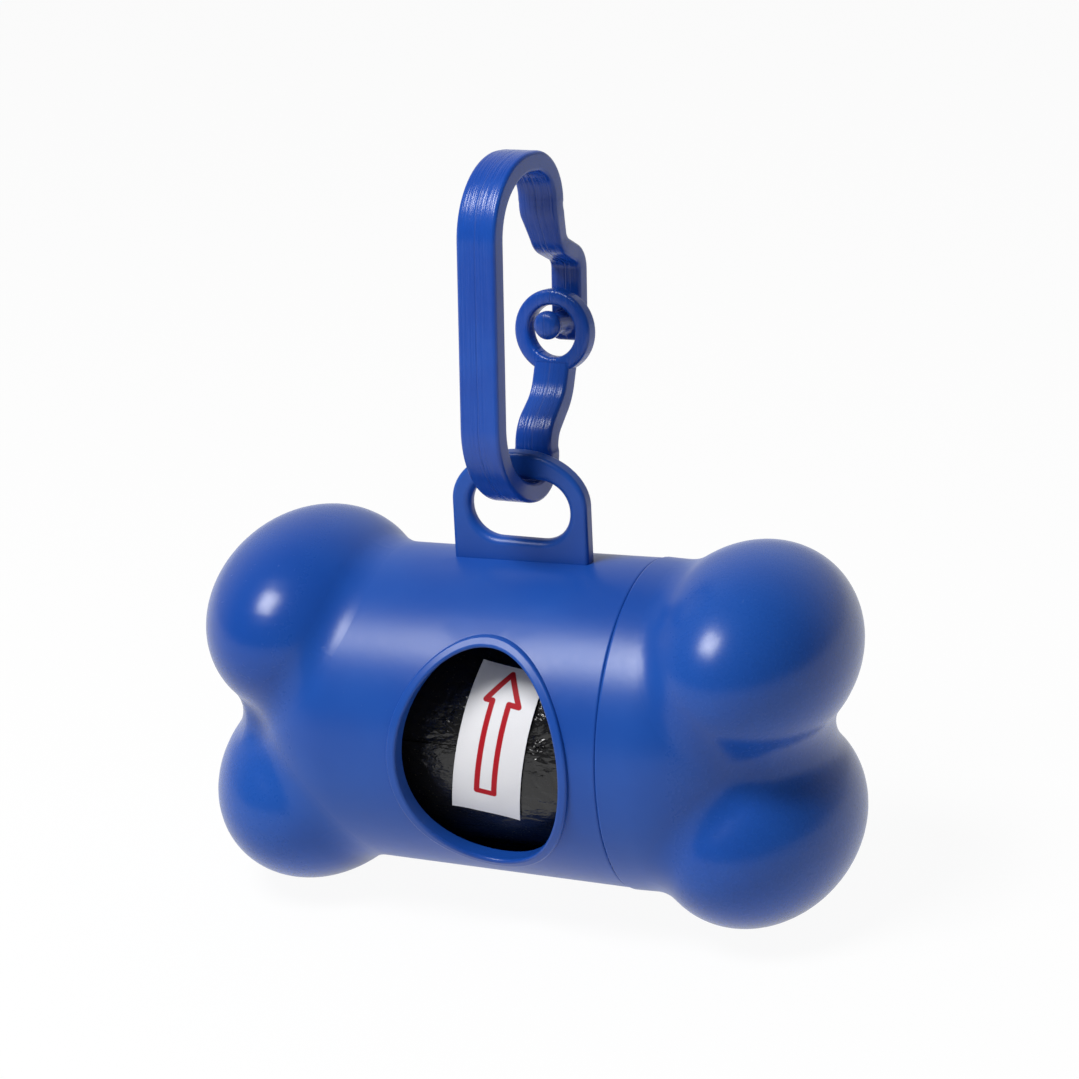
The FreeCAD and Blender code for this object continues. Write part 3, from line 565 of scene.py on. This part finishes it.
def wind(number, around, along, knots_round=EVEN, knots_along=EVEN):
    """One bag: a grid wound up three times, its points moved round the roll's axis."""
    bpy.ops.object.select_all(action="DESELECT")
    bpy.ops.mesh.primitive_grid_add(x_subdivisions=around, y_subdivisions=along, size=1)
    film = bpy.context.object
    film.name = f"bag_{number:02d}_film"
    for vertex in film.data.vertices:
        turn = TURNS * (number - 1 + through(knots_round, vertex.co.x + 0.5) * (1 - PERFORATION))
        angle = FREE_EDGE + 2 * math.pi * turn
        radius = FIRST_RADIUS + PITCH * turn
        share = through(knots_along, vertex.co.y + 0.5) - 0.5
        side = ROLL_MIDDLE + share * FILM_WIDTH
        if number == BAGS:
            radius -= crumple(side / MM, (angle + math.pi) % (2 * math.pi) - math.pi) * MM
        ragged = RAGGED_EDGE * noises.noise(Vector((number * 3.1, turn * 9, 2.0 if share > 0 else 5.0)))
        side += ragged * (abs(share) * 2) ** 6
        vertex.co = (side, -radius * math.cos(angle), AXIS_UP + radius * math.sin(angle))
    thick = film.modifiers.new("film", "SOLIDIFY")
    thick.thickness = FILM_THICKNESS
    thick.offset = 0
    bpy.ops.object.modifier_apply(modifier="film")
    bpy.ops.object.shade_smooth_by_angle(angle=SHEET_EDGE_ANGLE)
    film.data.materials.append(bag_film)
    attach(film, "roll")
    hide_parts(f"bag_{number:02d}")
    return film


for number in range(1, BAGS):
    wind(number, *INNER_GRID)
outer = wind(BAGS, *OUTER_GRID, CROWDED_ROUND, CROWDED_ALONG)
print(BAGS, "bags wound, the outermost with", len(outer.data.polygons), "faces")

# %% [markdown]
# ## The paper core
# The bags are wound on a tube of brown paperboard, which shows when the cap is off. Such tubes are wound
# from a strip at an angle, so a dark seam runs round them as a screw line. The exact tube keeps its
# shape, and the finish draws the seam: the angle round the axis plus the way along it, wrapped round
# again and again.

# %% Paperboard
DARK_BOARD, PALE_BOARD, SEAM_BROWN = (0.24, 0.16, 0.09, 1), (0.40, 0.29, 0.18, 1), (0.10, 0.065, 0.035, 1)
STRIP_WIDTH, FIBRE_DEPTH = 16 * MM, 0.1 * MM

paperboard, surface, wire = finish_named("paperboard")
where = wire.node("TexCoord", out="Object")
axis_spot = {"Vector": where, "Location": (ROLL_MIDDLE, 0, AXIS_UP)}
centred = wire.node("Mapping", axis_spot, vector_type="TEXTURE")
along, rear, up = [wire.node("SeparateXYZ", {0: centred}, out=axis) for axis in "XYZ"]
screw = up.maths("ARCTAN2", up, rear) / (2 * math.pi) + along / STRIP_WIDTH
seam = 1 - (screw.maths("FRACT", screw) - 0.5).size().fade(0.004, 0.03)
fibre = noise(wire, stretched(wire, where, (500, 2600, 2600), (0.6, 0.2, 0.1)), 1.0, 4.0, 0.65)
brown = blend_colours(wire, fibre.fade(0.3, 0.7), DARK_BOARD, PALE_BOARD)
brown = blend_colours(wire, seam * 0.7, brown, SEAM_BROWN)
plug(surface, "Base Color", brown)
plug(surface, "Roughness", 0.78 + fibre * 0.15)
grooves = {"Strength": 0.5, "Distance": FIBRE_DEPTH, "Height": fibre - seam}
plug(surface, "Normal", wire.node("Bump", grooves))
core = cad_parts["roll_core"]
core.data.materials.clear()
core.data.materials.append(paperboard)
print("paperboard on roll_core")

# %% [markdown]
# ## The paper label
# A white label holds the free end of the roll, stuck on a little askew. It carries a plain red arrow,
# drawn as an outline, which shows which way to pull. The label is a grid laid round the roll, with its
# own UV map, and the arrow is worked out there in millimetres: each side of it is a distance to a line,
# and the nearest wins.

# %% Label paper
LABEL_WIDTH, LABEL_LENGTH = 8.4, 18.74
ARROW = ((0.05, 8.45), (2.2, 4.85), (0.92, 4.85), (0.95, -6.25), (-1.2, -6.25), (-1.2, 4.85), (-2.05, 4.85))
INK_CORE, INK_EDGE, INK_BLEED = 0.30, 0.40, 0.10
PAPER_GREY, PAPER_WHITE = (0.74, 0.74, 0.76, 1), (0.82, 0.82, 0.84, 1)
DARK_RED, LIGHT_RED = (0.36, 0.005, 0.012, 1), (0.46, 0.010, 0.020, 1)
PAPER_DEPTH = 0.04 * MM

label_paper, surface, wire = finish_named("label_paper")
flat = wire.node("UVMap", uv_map="UVMap")
across = (wire.node("SeparateXYZ", {0: flat}, out="X") - 0.5) * LABEL_WIDTH
along = (wire.node("SeparateXYZ", {0: flat}, out="Y") - 0.5) * LABEL_LENGTH


def distance_to_line(first, last):
    """Distance in millimetres from the straight line between two points of the label."""
    run_x, run_y = last[0] - first[0], last[1] - first[1]
    off_x, off_y = across - first[0], along - first[1]
    share = (off_x * run_x + off_y * run_y) / (run_x ** 2 + run_y ** 2)
    share = share.maths("MINIMUM", share.maths("MAXIMUM", share, 0.0), 1.0)
    gap_x, gap_y = off_x - share * run_x, off_y - share * run_y
    return share.maths("SQRT", gap_x * gap_x + gap_y * gap_y)


nearest = None
for first, last in zip(ARROW, ARROW[1:] + ARROW[:1]):
    side = distance_to_line(first, last)
    nearest = side if nearest is None else nearest.maths("MINIMUM", nearest, side)
bleed = noise(wire, flat, 260.0, 2.0)
fibre = noise(wire, flat, 90.0, 5.0, 0.7)
ink = 1 - (nearest + (bleed - 0.5) * INK_BLEED).fade(INK_CORE, INK_EDGE)
white = blend_colours(wire, fibre, PAPER_GREY, PAPER_WHITE)
red = blend_colours(wire, bleed, DARK_RED, LIGHT_RED)
surface.inputs["Specular IOR Level"].default_value = 0.15
plug(surface, "Base Color", blend_colours(wire, ink, white, red))
plug(surface, "Roughness", 0.62 + fibre * 0.12 - ink * 0.15)
plug(surface, "Normal", wire.node("Bump", {"Strength": 0.25, "Distance": PAPER_DEPTH, "Height": fibre}))
print("label paper with", len(wire.tree.nodes), "nodes")

# %% The label
bpy.ops.object.select_all(action="DESELECT")
bpy.ops.mesh.primitive_grid_add(x_subdivisions=24, y_subdivisions=64, size=1)
label = bpy.context.object
label.name = "roll_label_paper"
TILT, LABEL_RISE, LABEL_PLACE = math.radians(9.0), math.radians(13.2), 0.6
LABEL_RADIUS, CORNER_CURL, PAPER_WAVE, PAPER_THICKNESS = 14.36, 0.16, 0.03, 0.09
for vertex in label.data.vertices:
    x, s = vertex.co.x * LABEL_WIDTH, vertex.co.y * LABEL_LENGTH
    corner = (abs(vertex.co.x) * 2) ** 4 * (abs(vertex.co.y) * 2) ** 6
    wave = PAPER_WAVE * noises.noise(Vector((x * 0.4, s * 0.35, 3.0)))
    radius = LABEL_RADIUS + CORNER_CURL * corner + wave
    angle = LABEL_RISE + (s * math.cos(TILT) - x * math.sin(TILT)) / LABEL_RADIUS
    side = LABEL_PLACE + x * math.cos(TILT) + s * math.sin(TILT)
    vertex.co = (side * MM, -radius * MM * math.cos(angle), AXIS_UP + radius * MM * math.sin(angle))
thick = label.modifiers.new("paper", "SOLIDIFY")
thick.thickness = PAPER_THICKNESS * MM
thick.offset = 0
bpy.ops.object.modifier_apply(modifier="paper")
bpy.ops.object.shade_smooth_by_angle(angle=SHEET_EDGE_ANGLE)
label.data.materials.append(label_paper)
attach(label, "roll")
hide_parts("roll_label")
print("label with", len(label.data.polygons), "faces")

# %% [markdown]
# ## Studio
# The picture is a plain white set: a white table, a pale surround that is darker on the camera's side,
# and one square soft box high up in front, to the left. The table gives its white to the camera and to
# mirror-like rays, and keeps a part of the real shading, so that the bone's soft shadow stays on it.

# %% Table
TABLE_RADIUS, TABLE_GAP, WHITE_SHARE = 6, 0.2 * MM, 0.94
WHITE, TABLE_WHITE = (1, 1, 1, 1), (0.9, 0.9, 0.9, 1)
WHITE_RAYS = ("Is Camera Ray", "Is Glossy Ray", "Is Transmission Ray")

bpy.ops.object.select_all(action="DESELECT")
bpy.ops.mesh.primitive_circle_add(vertices=96, radius=TABLE_RADIUS, fill_type="NGON",
                                  location=(0, 0, CAD_BOX[0][2] - TABLE_GAP))
table = bpy.context.object
table.name = "table"
bpy.ops.object.transform_apply(location=True)
table_paint, surface, wire = finish_named("table_paint")
surface.inputs["Base Color"].default_value = TABLE_WHITE
surface.inputs["Roughness"].default_value = 0.9
surface.inputs["Specular IOR Level"].default_value = 0.1
rays = [wire.node("LightPath", out=name) for name in WHITE_RAYS]
seen = rays[0].maths("MAXIMUM", rays[0].maths("MAXIMUM", rays[0], rays[1]), rays[2])
glow = wire.node("Emission", {"Color": WHITE, "Strength": 1.0})
painted = Wire(wire.tree, surface.outputs[0])
both = wire.node("MixShader", {0: seen * WHITE_SHARE, 1: painted, 2: glow})
plug(wire.tree.nodes["Material Output"], "Surface", both)
table.data.materials.append(table_paint)
print("table at", round(CAD_BOX[0][2] - TABLE_GAP, 4))

# %% Surround
FRONT_LEVEL, REAR_GAIN = 0.10, 0.56

world = bpy.data.worlds.new("surround")
world.use_nodes = True
bpy.context.scene.world = world
background = world.node_tree.nodes["Background"]
wire = Wire(world.node_tree)
direction = wire.node("TexCoord", out="Generated")
rear = wire.node("VectorMath", {0: direction, 1: -BACK}, out=1, operation="DOT_PRODUCT")
pale = FRONT_LEVEL + REAR_GAIN * rear.fade(-0.2, 0.75)
shown = wire.node("LightPath", out="Is Camera Ray")
plug(background, "Strength", shown.maths("MAXIMUM", shown, pale))
background.inputs["Color"].default_value = WHITE
print("surround from", FRONT_LEVEL, "to", FRONT_LEVEL + REAR_GAIN)

# %% Soft box
BOX_WAY = Vector((-0.26, -0.46, 0.85)).normalized()
BOX_DISTANCE, BOX_SIDE, BOX_WATTS = 0.6, 0.22, 3.7

lamp = bpy.data.lights.new("key_box", "AREA")
lamp.shape = "RECTANGLE"
lamp.size = BOX_SIDE
lamp.size_y = BOX_SIDE
lamp.energy = BOX_WATTS
soft_box = bpy.data.objects.new("key_box", lamp)
bpy.context.scene.collection.objects.link(soft_box)
facing = BOX_WAY.to_track_quat("Z", "Y").to_matrix().to_4x4()
soft_box.matrix_world = Matrix.Translation(MIDDLE + BOX_WAY * BOX_DISTANCE) @ facing
print("soft box of", BOX_WATTS, "W,", BOX_DISTANCE, "m from the barrel")
